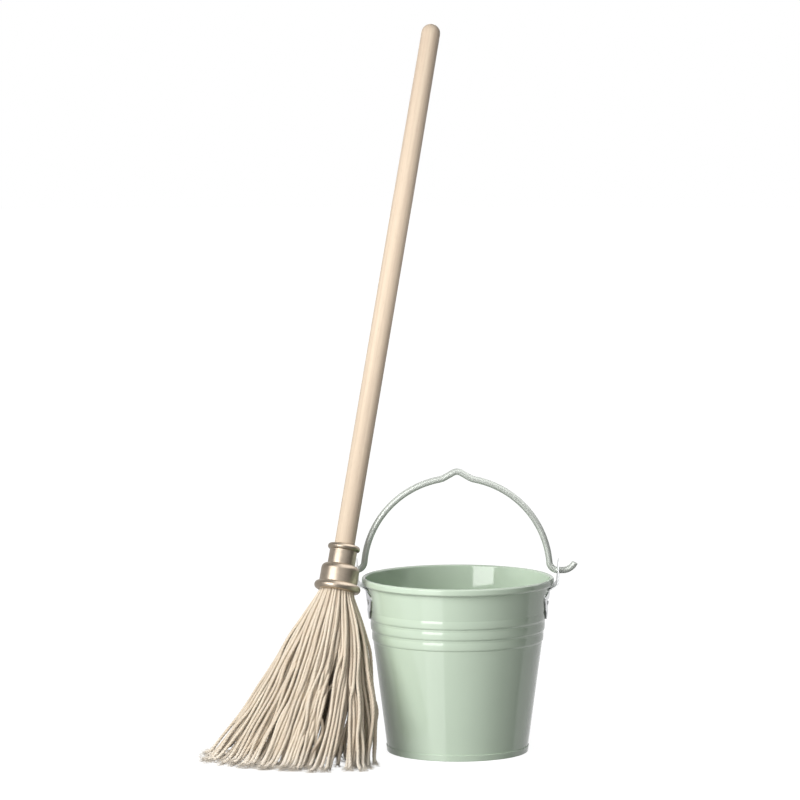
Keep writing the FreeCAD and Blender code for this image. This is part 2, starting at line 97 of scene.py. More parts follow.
BOUNCE = ((-180, 0.0), (74, 0.0), (76, 0.25), (102, 0.25), (106, 0.0), (180, 0.0))
BOUNCE_BELOW = -11.0                     # elevation under which a light floor shows beside the dark side
BOUNCE_EDGE = 2.0
PANEL_FROM = 26.0                        # elevation above which a panel shows in place of the softbox
PANEL_EDGE = 2.0
PANEL = ((-180, 0.9), (-60, 0.2), (-10, 1.3), (25, 2.4), (130, 2.4), (180, 0.9))
DARK_BELOW = -50.0                       # elevation in degrees under which the studio is dark
DARK_EDGE = 4.0                          # whole width of the step down to it
DARK_SHARE = 0.25
AMBIENT = (0.07, 0.38)                   # radiance for diffuse surfaces, from the right and from the left
FLOOR_RADIUS = 14.0
FLOOR_SIDES = 96
FLOOR_ALBEDO = 0.35
FLOOR_GLOW = 0.96                        # to the camera, with FLOOR_SHADE of the light that falls on it
FLOOR_SHADE = 0.22
FLOOR_FADE = (0.5, 1.1)                  # distance over which the shadows fade out to white

# ---- colours, linear ----
BUCKET_GREEN = (0.585, 0.700, 0.560)
BAIL_GREEN = (0.555, 0.583, 0.541)
ZINC_TONES = ((0.72, 0.73, 0.74), (0.88, 0.89, 0.90))
STEEL_TONES = ((0.34, 0.33, 0.32), (0.56, 0.55, 0.54))
BRONZE_TONES = ((0.40, 0.335, 0.265), (0.52, 0.44, 0.35))
BEECH_TONES = ((0.58, 0.462, 0.352), (0.69, 0.575, 0.443))
BEECH_DRIFT = (0.65, 0.525, 0.405)
BEECH_FLECK = (0.50, 0.36, 0.25)
COTTON_TONES = ((0.69, 0.58, 0.45), (0.84, 0.745, 0.605))
COTTON_SHADE = (0.50, 0.39, 0.27)
COTTON_CLOUD = (0.87, 0.80, 0.68)
COTTON_FRAY = (0.90, 0.85, 0.77)

# ---- yarn ----
STRANDS = 176
PLIES = 3
PLY_RADIUS = 0.00182
PLY_HELIX = 0.00092                      # distance of a ply's centre from the strand's
ROOT_SHRINK = 0.66                       # the strands are squeezed in the ferrule's cup
TWIST_PITCH = 0.0165
STRAND_SAMPLES = 168
PLY_SIDES = 6
LEVELS = 27
OUTLINE_SECTORS = 32                     # directions in which the CAD yarn's outline is read
FOOT_LEVEL = 0.001                       # height at which its foot is read
SLOT_JITTER = 0.012
CLUMPS = 46
CLUMP_ROUNDS = 12
CLUMP_TURN = 0.26                        # how far a strand is drawn to its clump, in angle
CLUMP_DRAW = 0.12                        # and in radius
CLUMP_FULL = 0.35                        # as a share of the way down, where it is drawn all the way
CLUMP_SWAY = 0.028
CLUMP_WAVES = (0.5, 1.0)
STRAND_WAVES = (1, 2, 3)
SKIN_BIAS = 0.62                         # how far the strands keep to the bundle's skin
# How fast each effect grows on the way down: it is full at one over this share.
SKIN_GROWTH = 1.6
CLUMP_SWAY_GROWTH = 1.5
SWAY_GROWTH = 2
SPACING_GROWTH = 5
ROOM_GROWTH = 3
BULGE = 0.0045                           # the strands spring outward below the ferrule
BULGE_END = 0.55                         # as a share of the way down
SWAY = 0.0026
STRAY_SHARE = 0.10                       # strands that sway more
STRAY_SWAY = 2.6
STRAY_ROOM = 0.006                       # how far past the outline a stray may swing
STRAND_ROOM = 0.002                      # and any other strand
STRAND_SPACING = 0.0053
MOUTH_SPACING = 0.0036
PUSH = 0.45                              # share of an overlap that one round takes away
PUSH_CROWD = 1.6                         # less, because a strand has many neighbours
PUSH_ROUNDS = 40
CUP_GAP = 0.002                          # from the strands' tops to the top of the root
SCREW_GAP = 0.003                        # and to the screw's head
CUP_SHARES = (1.0, 0.66, 0.33)
LAST_LEVEL = 0.012                       # height at which a strand begins to turn out over the floor
TIP_LIFT = 0.012                         # the flatter a strand lies, the higher its end may stay
TIP_RUN = 0.012
TIP_OUTWARD = 0.12                       # how far the ends turn away from the bundle's middle
TIP_SCATTER = 0.10
TIP_STRETCH = 1.1                        # run over drop, for each unit of slope
TIP_LEAST_RUN = 0.10
TIP_SHARES = (0.35, 0.7, 1.0)
TIP_END = (0.0005, 0.0015)
TIP_RUN_RANGE = (0.3, 1.0)
TIP_SETTLE = 0.95
SMOOTHING = 6                            # samples to each side over which a strand is smoothed
SQUEEZE_FROM = 0.02                      # distance down the strand at which the cup lets go of it
SQUEEZE_RUN = 0.05
FRAY_OPEN = 1.1                          # how far the plies part at the end
FRAY_CURVE = 1.5
FRAY_THIN = 0.25
FRAY_LENGTH = 0.016
FIBRES_PER_PLY = 13
FIBRE_RADIUS = 0.00023
FIBRE_LENGTH = (0.006, 0.015)
FIBRE_SAMPLES = 5
FIBRE_SIDES = 3
FIBRE_BACK = 0.003                       # the fibres leave the ply up to this far from its end
FIBRE_SCATTER = 0.4                      # in ply radii
FIBRE_SPREAD = 0.42
FIBRE_BEND = 0.25
FIBRE_TAPER = 0.35
FIBRE_SIDEWAYS = (0.31, 0.17, 0.94)      # any direction that few fibres run in
TONE_MEAN = 0.55
TONE_SPREAD = 0.25
PLY_TONE_SPREAD = 0.06
STRAND_LENGTH = 0.29                     # rounded, for where the fray begins
FRAY_FADE = 0.03
UV_LENGTH = 0.3
UV_SHIFT = 9                             # random shift, so that no two plies share their fibres
FLOOR_CLEARANCE = 0.0003

rng = np.random.default_rng(11)


# ---- measuring the frame ----

def vertices(node):
    """A CAD node's vertices, each once."""
    points = np.array([v.co for v in frame["nodes"][node].data.vertices], float)
    return np.unique(np.round(points, 6), axis=0)


def unit(v):
    v = np.asarray(v, float)
    return v / np.linalg.norm(v, axis=-1, keepdims=True)


def mop_axis():
    """A point on the mop's axis, and the axis's direction up the handle."""
    points = vertices("mop_handle")
    middle = points.mean(0)
    ways = np.linalg.svd(points - middle, full_matrices=False)[2]
    return middle, ways[0] * np.sign(ways[0][2])


def along_axis(node):
    """Lowest and highest distance of a node's vertices along the mop's axis, and their largest radius."""
    middle, up = mop_axis()
    offsets = vertices(node) - middle
    places = offsets @ up
    radii = np.linalg.norm(offsets - np.outer(places, up), axis=1)
    return places.min(), places.max(), radii.max()


def yarn_locks():
    return sorted(name for name in frame["nodes"] if name.startswith("yarn_lock_"))


def yarn_section(height):
    """The yarn's outline at a height: (centre, direction of its long axis, half-length, half-width)."""
    cuts = []
    for name in yarn_locks():
        mesh = frame["nodes"][name].data
        points = np.array([v.co for v in mesh.vertices], float)
        ends = points[np.array([edge.vertices[:] for edge in mesh.edges])]
        low, high = ends[:, 0], ends[:, 1]
        span = high[:, 2] - low[:, 2]
        crosses = (low[:, 2] - height) * (high[:, 2] - height) < 0
        share = (height - low[crosses, 2]) / span[crosses]
        cuts.append(low[crosses] + share[:, None] * (high[crosses] - low[crosses]))
    flat = np.concatenate(cuts)[:, :2]
    centre = (flat.min(0) + flat.max(0)) / 2
    angle = np.arctan2(flat[:, 1] - centre[1], flat[:, 0] - centre[0])
    reach = np.linalg.norm(flat - centre, axis=1)
    sectors = np.floor((angle + math.pi) / (2 * math.pi) * OUTLINE_SECTORS).astype(int) % OUTLINE_SECTORS
    rim = np.array([flat[sectors == k][reach[sectors == k].argmax()]
                    for k in range(OUTLINE_SECTORS) if (sectors == k).any()])
    ways = np.linalg.svd(rim - rim.mean(0), full_matrices=False)[2]
    half = np.abs((rim - centre) @ ways.T).max(0)
    return centre, math.atan2(ways[0][1], ways[0][0]), half[0], half[1]


# ---- node graphs ----

def add(tree, kind, inputs=(), **settings):
    """A shader node. An input is a constant, or another node's output to link."""
    node = tree.nodes.new("ShaderNode" + kind)
    for name, value in settings.items():
        setattr(node, name, value)
    for name, value in dict(inputs).items():
        if isinstance(value, bpy.types.NodeSocket):
            tree.links.new(value, node.inputs[name])
        else:
            node.inputs[name].default_value = value
    return node


def maths(tree, operation, first, second=0.0):
    return add(tree, "Math", {0: first, 1: second}, operation=operation).outputs[0]


def ramp(tree, factor, stops):
    """Colour ramp with (position, grey or colour) stops."""
    node = add(tree, "ValToRGB", {0: factor})
    elements = node.color_ramp.elements
    while len(elements) < len(stops):
        elements.new(0.5)
    for element, (position, colour) in zip(elements, stops):
        element.position = position
        element.color = (colour,) * 3 + (1,) if isinstance(colour, float) else tuple(colour) + (1,)
    return node.outputs[0]


def between(tree, value, low, high, to_low=0.0, to_high=1.0):
    """A value carried from the range low to high over to another range, and held at its ends."""
    node = add(tree, "MapRange", {0: value, 1: low, 2: high, 3: to_low, 4: to_high})
    return node.outputs[0]


def noise(tree, coordinates, scale, detail=2.0, roughness=0.5):
    inputs = {"Vector": coordinates, "Scale": scale, "Detail": detail, "Roughness": roughness}
    return add(tree, "TexNoise", inputs).outputs["Fac"]


def mix(tree, factor, first, second, blend="MIX"):
    node = add(tree, "Mix", {0: factor}, data_type="RGBA", blend_type=blend)
    for index, value in ((6, first), (7, second)):
        if isinstance(value, bpy.types.NodeSocket):
            tree.links.new(value, node.inputs[index])
        else:
            node.inputs[index].default_value = tuple(value) + (1,)
    return node.outputs[2]


def bump(tree, height, strength, distance, normal=None):
    inputs = {"Height": height, "Strength": strength, "Distance": distance}
    if normal is not None:
        inputs["Normal"] = normal
    return add(tree, "Bump", inputs).outputs[0]


def material(name):
    """A new material, its tree, the shader and the object coordinates."""
    made = bpy.data.materials.new(name)
    made.use_nodes = True
    tree = made.node_tree
    tree.nodes.clear()
    shader = add(tree, "BsdfPrincipled")
    output = add(tree, "OutputMaterial", {"Surface": shader.outputs[0]})
    output.is_active_output = True
    place = add(tree, "TexCoord").outputs["Object"]
    return made, tree, shader, place


def drive(tree, shader, **inputs):
    """Links or sets the shader's inputs. Names are written with _ for a space."""
    for name, value in inputs.items():
        socket = shader.inputs[name.replace("_", " ")]
        if isinstance(value, bpy.types.NodeSocket):
            tree.links.new(value, socket)
        else:
            socket.default_value = value


def scaled(colour, factor):
    return tuple(channel * factor for channel in colour)


# ---- materials ----

def enamel(name, colour, roughness, coat, metallic):
    """Sprayed gloss paint on steel: slow drifts of tone, a fine orange-peel surface."""
    made, tree, shader, place = material(name)
    drift = noise(tree, place, 9.0, 3.0)
    cloud = noise(tree, place, 45.0, 2.0)
    base = mix(tree, drift, scaled(colour, 0.965), scaled(colour, 1.035))
    peel = noise(tree, place, 420.0, 1.0)
    ripple = noise(tree, place, 38.0, 1.0)
    surface = bump(tree, ripple, 0.08, 0.0003, bump(tree, peel, 0.03, 0.0001))
    rough = between(tree, cloud, 0.3, 0.7, roughness, roughness * 1.25)
    drive(tree, shader, Base_Color=base, Roughness=rough, Normal=surface, IOR=1.5, Coat_Weight=coat,
          Coat_Roughness=0.04, Metallic=metallic)
    return made


def zinc(name):
    """Bright zinc plating with a faint spangle and rubbed patches."""
    made, tree, shader, place = material(name)
    spangle = add(tree, "TexVoronoi", {"Vector": place, "Scale": 330.0}).outputs["Distance"]
    rub = noise(tree, place, 90.0, 4.0)
    base = mix(tree, rub, *ZINC_TONES)
    drive(tree, shader, Base_Color=base, Metallic=1.0, Roughness=between(tree, spangle, 0.0, 0.6, 0.20, 0.36),
          Normal=bump(tree, rub, 0.15, 0.0002))
    return made


def steel(name):
    """Bare steel wire and hardware, lightly oxidised."""
    made, tree, shader, place = material(name)
    cloud = noise(tree, place, 160.0, 4.0)
    base = mix(tree, cloud, *STEEL_TONES)
    drive(tree, shader, Base_Color=base, Metallic=1.0, Roughness=between(tree, cloud, 0.3, 0.7, 0.3, 0.5),
          Normal=bump(tree, cloud, 0.2, 0.0002))
    return made


def axis_coordinates(tree, place):
    """Object coordinates turned so that Z runs up the mop's axis."""
    middle, up = mop_axis()
    turn = Vector(up).rotation_difference(Vector((0, 0, 1))).to_euler()
    moved = add(tree, "VectorMath", {0: place, 1: tuple(middle)}, operation="SUBTRACT").outputs[0]
    return add(tree, "Mapping", {"Vector": moved, "Rotation": tuple(turn)}).outputs[0]


def stretched(tree, coordinates, across, along):
    """Coordinates scaled across and along the mop's axis."""
    scale = (across, across, along)
    return add(tree, "Mapping", {"Vector": coordinates, "Scale": scale}).outputs[0]


def bronze(name):
    """Turned and antiqued bronze: fine tool lines round the axis, darker patches of patina."""
    made, tree, shader, place = material(name)
    turned = axis_coordinates(tree, place)
    lines = noise(tree, stretched(tree, turned, 12.0, 1500.0), 1.0, 3.0)
    patina = noise(tree, turned, 55.0, 5.0, 0.6)
    fine = noise(tree, turned, 700.0, 2.0)
    base = mix(tree, between(tree, patina, 0.35, 0.65), *BRONZE_TONES)
    rough = between(tree, patina, 0.3, 0.7, 0.40, 0.31)
    surface = bump(tree, lines, 0.12, 0.00012, bump(tree, fine, 0.08, 0.0001))
    drive(tree, shader, Base_Color=base, Metallic=1.0, Roughness=rough, Normal=surface)
    return made


def beech(name):
    """Pale steamed beech, sanded and oiled: long faint grain, short dark flecks."""
    made, tree, shader, place = material(name)
    turned = axis_coordinates(tree, place)
    rings = noise(tree, stretched(tree, turned, 230.0, 3.2), 1.0, 3.0, 0.55)
    pores = noise(tree, stretched(tree, turned, 1100.0, 28.0), 1.0, 2.0)
    flecks = noise(tree, stretched(tree, turned, 900.0, 120.0), 1.0, 1.0)
    drift = noise(tree, stretched(tree, turned, 8.0, 2.5), 1.0, 2.0)
    tone = mix(tree, between(tree, rings, 0.32, 0.68), *BEECH_TONES)
    tone = mix(tree, between(tree, drift, 0.3, 0.7, 0.0, 0.35), tone, BEECH_DRIFT)
    tone = mix(tree, between(tree, flecks, 0.66, 0.76, 0.0, 0.35), tone, BEECH_FLECK)
    surface = bump(tree, pores, 0.12, 0.00015, bump(tree, rings, 0.12, 0.0002))
    drive(tree, shader, Base_Color=tone, Roughness=between(tree, pores, 0.3, 0.7, 0.42, 0.58), Normal=surface,
          Specular_IOR_Level=0.2, Sheen_Weight=0.3, Sheen_Roughness=0.35)
    return made


def cotton(name):
    """Undyed cotton yarn. Each strand has its own tone, and the fibres run along the ply."""
    made, tree, shader, place = material(name)
    along_ply = add(tree, "UVMap", uv_map="ply").outputs[0]
    tone = add(tree, "Attribute", attribute_name="tone").outputs["Fac"]
    fray = add(tree, "Attribute", attribute_name="fray").outputs["Fac"]
    drawn = add(tree, "Mapping", {"Vector": along_ply, "Scale": (22.0, 260.0, 1.0)}).outputs[0]
    fibre = noise(tree, drawn, 1.0, 3.0)
    lint = noise(tree, place, 900.0, 2.0)
    cloud = noise(tree, place, 60.0, 3.0)
    base = mix(tree, tone, *COTTON_TONES)
    base = mix(tree, between(tree, fibre, 0.3, 0.7, 0.0, 0.30), base, COTTON_SHADE)
    base = mix(tree, between(tree, cloud, 0.35, 0.7, 0.0, 0.30), base, COTTON_CLOUD)
    base = mix(tree, maths(tree, "MULTIPLY", fray, 0.6), base, COTTON_FRAY)
    surface = bump(tree, fibre, 0.5, 0.0004, bump(tree, lint, 0.3, 0.0003))
    drive(tree, shader, Base_Color=base, Roughness=0.92, Normal=surface, Specular_IOR_Level=0.2,
          Sheen_Weight=0.25, Sheen_Roughness=0.5)
    return made


def floor_paint(name):
    """Plain floor: white to the camera but for a trace of the shadows, and dimmer to the object."""
    made, tree, shader, place = material(name)
    cloud = noise(tree, place, 3.0, 2.0)
    seen = add(tree, "LightPath").outputs["Is Camera Ray"]
    grey = mix(tree, cloud, (0.97, 0.97, 0.97), (1.0, 1.0, 1.0))
    dim = mix(tree, cloud, (FLOOR_ALBEDO,) * 3, (FLOOR_ALBEDO * 1.03,) * 3)
    shade = mix(tree, 1.0, grey, (FLOOR_SHADE,) * 3, "MULTIPLY")
    distance = add(tree, "VectorMath", {0: place}, operation="LENGTH").outputs["Value"]
    glow = between(tree, distance, *FLOOR_FADE, FLOOR_GLOW, 1.0)
    drive(tree, shader, Base_Color=mix(tree, seen, dim, shade), Roughness=0.9, Specular_IOR_Level=0.0,
          Emission_Color=(1, 1, 1, 1), Emission_Strength=maths(tree, "MULTIPLY", seen, glow))
    return made


# ---- yarn ----

class Bundle:
    """The space that the yarn fills, from the ferrule's mouth to the floor."""

    def __init__(self):
        middle, self.up = mop_axis()
        mouth, root_top, self.root_radius = along_axis("yarn_root")
        self.mouth = middle + self.up * mouth
        self.root_depth = root_top - mouth
        self.core_depth = along_axis("head_screw")[0] - mouth
        self.core_radius = along_axis("head_washer")[2]
        side = unit(np.cross((1, 0, 0), self.up))
        self.mouth_x = np.cross(self.up, side)
        self.mouth_y = -side
        self.waist_height = self.mouth[2] / 2
        self.waist = yarn_section(self.waist_height)
        self.foot = yarn_section(FOOT_LEVEL)

    def through(self, height, at_floor, at_waist, at_mouth):
        """Smooth value at a height that passes through its values at the floor, the waist and the mouth."""
        t = height / self.mouth[2]
        w = self.waist_height / self.mouth[2]
        floor_part = (t - w) * (t - 1) / w
        waist_part = t * (t - 1) / (w * (w - 1))
        mouth_part = t * (t - w) / (1 - w)
        return floor_part * at_floor + waist_part * at_waist + mouth_part * at_mouth

    def centre(self, height):
        flat = self.through(height, self.foot[0], self.waist[0], self.mouth[:2])
        return np.array([flat[0], flat[1], height])

    def reach(self, height, angle):
        """Radius of the bundle at a height, in a direction."""
        def ellipse(section):
            turned = angle - section[1]
            across = np.hypot(section[3] * np.cos(turned), section[2] * np.sin(turned))
            return section[2] * section[3] / across
        return self.through(height, ellipse(self.foot), ellipse(self.waist), self.root_radius)

    def plane(self, height):
        """Two directions across the bundle: square to the mop's axis at its mouth, and level further down."""
        share = (height / self.mouth[2]) ** 2
        return (unit((1 - share) * np.array((1.0, 0, 0)) + share * self.mouth_x),
                unit((1 - share) * np.array((0, 1.0, 0)) + share * self.mouth_y))


def pushed_apart(points, spacing, rounds):
    """Points in a plane, pushed apart in rounds where they are nearer to each other than the spacing."""
    points = points.copy()
    for _ in range(rounds):
        gaps = points[:, None] - points[None]
        distance = np.linalg.norm(gaps, axis=2) + np.eye(len(points))
        push = np.clip(spacing - distance, 0, None) * (distance < spacing)
        np.fill_diagonal(push, 0)
        points += PUSH * (gaps / distance[:, :, None] * push[:, :, None]).sum(1) / PUSH_CROWD
    return points


def grouped(points, count):
    """The number of the clump that each point falls in, and the clumps' centres."""
    centres = points[rng.choice(len(points), count, replace=False)]
    for _ in range(CLUMP_ROUNDS):
        nearest = np.linalg.norm(points[:, None] - centres[None], axis=2).argmin(1)
        centres = np.array([points[nearest == k].mean(0) if (nearest == k).any() else centres[k]
                            for k in range(count)])
    return nearest, centres


def smooth_noise(count, samples, waves):
    """Slow random curves, one row for each strand, about one unit high."""
    t = np.linspace(0, 1, samples)
    total = np.zeros((count, samples))
    for wave in waves:
        phase = rng.uniform(0, 2 * math.pi, (count, 1))
        size = rng.normal(0, 1, (count, 1)) / math.sqrt(wave)
        total += size * np.sin(2 * math.pi * wave * t[None] * rng.uniform(0.7, 1.3, (count, 1)) + phase)
    return total / math.sqrt(len(waves))


def polar(points):
    """Radii and angles of points in a plane."""
    return np.linalg.norm(points, axis=1), np.arctan2(points[:, 1], points[:, 0])


def strand_lines(bundle):
    """Centre lines of the strands, [strand, sample, xyz], and the angle at which each leaves the cup."""
    order = np.arange(STRANDS) + 0.5
    fraction = np.sqrt(order / STRANDS)
    golden = math.pi * (3 - math.sqrt(5))
    slots = np.stack([fraction * np.cos(order * golden), fraction * np.sin(order * golden)], 1)
    slots += rng.normal(0, SLOT_JITTER, slots.shape)
    clump, clump_places = grouped(slots, CLUMPS)
    own_rho, own_angle = polar(slots)
    clump_rho, clump_angle = polar(clump_places[clump])
    turn = np.angle(np.exp(1j * (clump_angle - own_angle)))
    clump_sway = np.stack([smooth_noise(CLUMPS, LEVELS, CLUMP_WAVES) for _ in range(2)], 2)
    sway = np.stack([smooth_noise(STRANDS, LEVELS, STRAND_WAVES) for _ in range(2)], 2)
    stray = rng.uniform(0, 1, STRANDS) < STRAY_SHARE
    sway[stray] *= STRAY_SWAY
    skin = PLY_RADIUS + PLY_HELIX
    heights = np.linspace(bundle.mouth[2], LAST_LEVEL, LEVELS)
    flat = slots * (bundle.root_radius - ROOT_SHRINK * skin)
    rows = []
    for level, height in enumerate(heights):
        t = level / (LEVELS - 1)
        pull = min(1.0, t / CLUMP_FULL)
        rho = own_rho + CLUMP_DRAW * pull * (clump_rho - own_rho)
        rho = np.clip(rho, 0, 1) ** (1 - SKIN_BIAS * min(1.0, SKIN_GROWTH * t))
        angle = own_angle + CLUMP_TURN * pull * turn * own_rho
        target = np.stack([rho * np.cos(angle), rho * np.sin(angle)], 1)
        target += min(1.0, CLUMP_SWAY_GROWTH * t) * CLUMP_SWAY * clump_sway[clump, level]
        rho, angle = polar(target)
        bulge = BULGE * math.sin(math.pi * min(1.0, t / BULGE_END))
        room = bundle.reach(height, angle) - skin + bulge
        wanted = np.stack([np.cos(angle), np.sin(angle)], 1) * (np.minimum(rho, 1.0) * room)[:, None]
        wanted += sway[:, level] * SWAY * min(1.0, SWAY_GROWTH * t)
        spacing = MOUTH_SPACING + (STRAND_SPACING - MOUTH_SPACING) * min(1.0, SPACING_GROWTH * t)
        flat = pushed_apart(wanted if level else flat, spacing, PUSH_ROUNDS)
        reach, angle = polar(flat)
        limit = bundle.reach(height, angle) - (ROOT_SHRINK if level == 0 else 1.0) * skin + bulge
        limit = limit + np.where(stray, STRAY_ROOM, STRAND_ROOM) * min(1.0, ROOM_GROWTH * t)
        flat *= np.minimum(1.0, limit / np.maximum(reach, 1e-6))[:, None]
        across, depth = bundle.plane(height)
        rows.append(bundle.centre(height) + flat[:, :1] * across + flat[:, 1:] * depth)
    rows = np.array(rows)
    lines = np.concatenate([cup_rows(bundle, rows[0]), rows, tips(rows, bundle)]).transpose(1, 0, 2)
    return resampled(lines, STRAND_SAMPLES), own_angle


def cup_rows(bundle, mouth_row):
    """The strands inside the cup, from their tops down. Those in the middle stop below the screw's head."""
    offset = mouth_row - bundle.mouth
    radius = np.linalg.norm(offset - np.outer(offset @ bundle.up, bundle.up), axis=1)
    depth = np.where(radius > bundle.core_radius + PLY_RADIUS + PLY_HELIX, bundle.root_depth - CUP_GAP,
                     bundle.core_depth - SCREW_GAP)
    return np.array([mouth_row + np.outer(depth * share, bundle.up) for share in CUP_SHARES])


def tips(rows, bundle):
    """The end of each strand, which runs out on the floor the way it came down."""
    last = rows[-1]
    way = rows[-1] - rows[-3]
    outward = way[:, :2] / -way[:, 2:]
    slope = np.linalg.norm(outward, axis=1, keepdims=True)
    radial = unit(last[:, :2] - bundle.foot[0])
    heading = unit(outward + radial * TIP_OUTWARD + rng.normal(0, TIP_SCATTER, outward.shape))
    lift = TIP_LIFT * slope * rng.uniform(0, 1, slope.shape)
    low = PLY_RADIUS + PLY_HELIX + lift
    drop = last[:, 2:] - low
    run = drop * (TIP_STRETCH * slope + TIP_LEAST_RUN)
    rows = []
    for share in TIP_SHARES:
        flat = last[:, :2] + heading * run * share
        rows.append(np.concatenate([flat, low + drop * (1 - share)], 1))
    end = rng.uniform(*TIP_END, slope.shape) + TIP_RUN * slope ** 2 * rng.uniform(*TIP_RUN_RANGE, slope.shape)
    rows.append(np.concatenate([rows[-1][:, :2] + heading * end, low * TIP_SETTLE], 1))
    return np.array(rows)


def resampled(lines, samples):
    """Each line smoothed and divided evenly by length."""
    made = []
    for line in lines:
        lengths = np.concatenate([[0], np.cumsum(np.linalg.norm(np.diff(line, axis=0), axis=1))])
        even = np.linspace(0, lengths[-1], samples)
        fine = np.stack([np.interp(even, lengths, line[:, k]) for k in range(3)], 1)
        kernel = np.hanning(2 * SMOOTHING + 3)[1:-1]
        kernel /= kernel.sum()
        before = fine[0] - (fine[1:SMOOTHING + 1][::-1] - fine[0])
        after = fine[-1] - (fine[-SMOOTHING - 1:-1][::-1] - fine[-1])
        padded = np.concatenate([before, fine, after])
        made.append(np.stack([np.convolve(padded[:, k], kernel, "valid") for k in range(3)], 1))
    return np.array(made)


def tubes(centres, normals, binormals, radii, sides):
    """Tubes, open at their ends, round centre lines [tube, sample, xyz]: vertices and faces."""
    count, samples = centres.shape[:2]
    turn = np.arange(sides) * 2 * math.pi / sides
    ring = np.cos(turn)[:, None] * normals[:, :, None] + np.sin(turn)[:, None] * binormals[:, :, None]
    points = centres[:, :, None] + ring * radii[:, :, None, None]
    sample = np.arange(samples - 1)[:, None] * sides
    side = np.arange(sides)[None]
    after = (side + 1) % sides
    corners = [sample + side, sample + after, sample + sides + after, sample + sides + side]
    quads = np.stack(corners, 2).reshape(-1, 4)
    offsets = np.arange(count)[:, None, None] * samples * sides
    return points.reshape(-1, 3), (quads[None] + offsets).reshape(-1, 4)


def twisted(lines, phase, outward):
    """The plies of the strands: their centres, two directions across each, and their radii."""
    tangent = unit(np.gradient(lines, axis=1))
    side = np.stack([-outward[:, 1], outward[:, 0], np.zeros(len(lines))], 1)[:, None]
    first = unit(side - (side * tangent).sum(2, keepdims=True) * tangent)
    second = np.cross(tangent, first)
    step = np.linalg.norm(lines[:, 1:] - lines[:, :-1], axis=2).mean(1)
    distance = step[:, None] * np.arange(lines.shape[1])
    left = distance[:, -1:] - distance
    open_end = np.clip(1 - left / FRAY_LENGTH, 0, 1)
    squeeze = ROOT_SHRINK + (1 - ROOT_SHRINK) * np.clip((distance - SQUEEZE_FROM) / SQUEEZE_RUN, 0, 1)
    helix = PLY_HELIX * squeeze * (1 + FRAY_OPEN * open_end ** FRAY_CURVE)
    thick = PLY_RADIUS * squeeze * (1 - FRAY_THIN * open_end)
    turn = 2 * math.pi * distance / TWIST_PITCH + phase[:, None]
    centres, normals, binormals, radii = [], [], [], []
    for ply in range(PLIES):
        angle = (turn + ply * 2 * math.pi / PLIES)[:, :, None]
        radial = np.cos(angle) * first + np.sin(angle) * second
        centre = lines + radial * helix[:, :, None]
        centre[:, :, 2] = np.maximum(centre[:, :, 2], thick + FLOOR_CLEARANCE)
        forward = unit(np.gradient(centre, axis=1))
        across = unit(radial - (radial * forward).sum(2, keepdims=True) * forward)
        centres.append(centre)
        normals.append(across)
        binormals.append(np.cross(forward, across))
        radii.append(thick)
    return [np.stack(parts, 1).reshape((-1,) + parts[0].shape[1:])
            for parts in (centres, normals, binormals, radii)]


def frayed(centres):
    """Loose fibres that spread from the end of each ply."""
    ends = np.repeat(centres[:, -1], FIBRES_PER_PLY, axis=0)
    way = np.repeat(unit(centres[:, -1] - centres[:, -5]), FIBRES_PER_PLY, axis=0)
    start = ends - way * rng.uniform(0.0, FIBRE_BACK, (len(ends), 1))
    start = start + rng.normal(0, PLY_RADIUS * FIBRE_SCATTER, ends.shape)
    spread = rng.normal(0, FIBRE_SPREAD, ends.shape)
    length = rng.uniform(*FIBRE_LENGTH, (len(ends), 1))
    t = np.linspace(0, 1, FIBRE_SAMPLES)[None, :, None]
    bend = rng.normal(0, FIBRE_BEND, ends.shape)
    path = start[:, None] + length[:, None] * (t * unit(way + spread)[:, None] + t ** 2 * bend[:, None])
    path[:, :, 2] = np.maximum(path[:, :, 2], FIBRE_RADIUS + FLOOR_CLEARANCE)
    forward = unit(np.gradient(path, axis=1))
    across = unit(np.cross(forward, np.array(FIBRE_SIDEWAYS)))
    thin = FIBRE_RADIUS * np.linspace(1, FIBRE_TAPER, FIBRE_SAMPLES)[None].repeat(len(ends), 0)
    return path, across, np.cross(forward, across), thin


def mesh_piece(name, parts, finish):
    """One mesh object from (points, faces, tone, fray, uv) parts."""
    points = np.concatenate([part[0] for part in parts])
    starts = np.cumsum([0] + [len(part[0]) for part in parts[:-1]])
    faces = np.concatenate([part[1] + start for part, start in zip(parts, starts)])
    mesh = bpy.data.meshes.new(name)
    mesh.vertices.add(len(points))
    mesh.vertices.foreach_set("co", points.astype(np.float32).ravel())
    mesh.loops.add(faces.size)
    mesh.loops.foreach_set("vertex_index", faces.astype(np.int32).ravel())
    mesh.polygons.add(len(faces))
    mesh.polygons.foreach_set("loop_start", np.arange(0, faces.size, 4, dtype=np.int32))
    mesh.update(calc_edges=True)
    mesh.polygons.foreach_set("use_smooth", np.ones(len(faces), bool))
    for index, label in ((2, "tone"), (3, "fray")):
        values = np.concatenate([part[index] for part in parts]).astype(np.float32)
        mesh.attributes.new(label, "FLOAT", "POINT").data.foreach_set("value", values)
    uv = np.concatenate([part[4] for part in parts])[faces.ravel()].astype(np.float32)
    mesh.uv_layers.new(name="ply").data.foreach_set("uv", uv.ravel())
    mesh.validate()
    mesh.materials.append(finish)
    made = bpy.data.objects.new(name, mesh)
    bpy.context.scene.collection.objects.link(made)
    return made


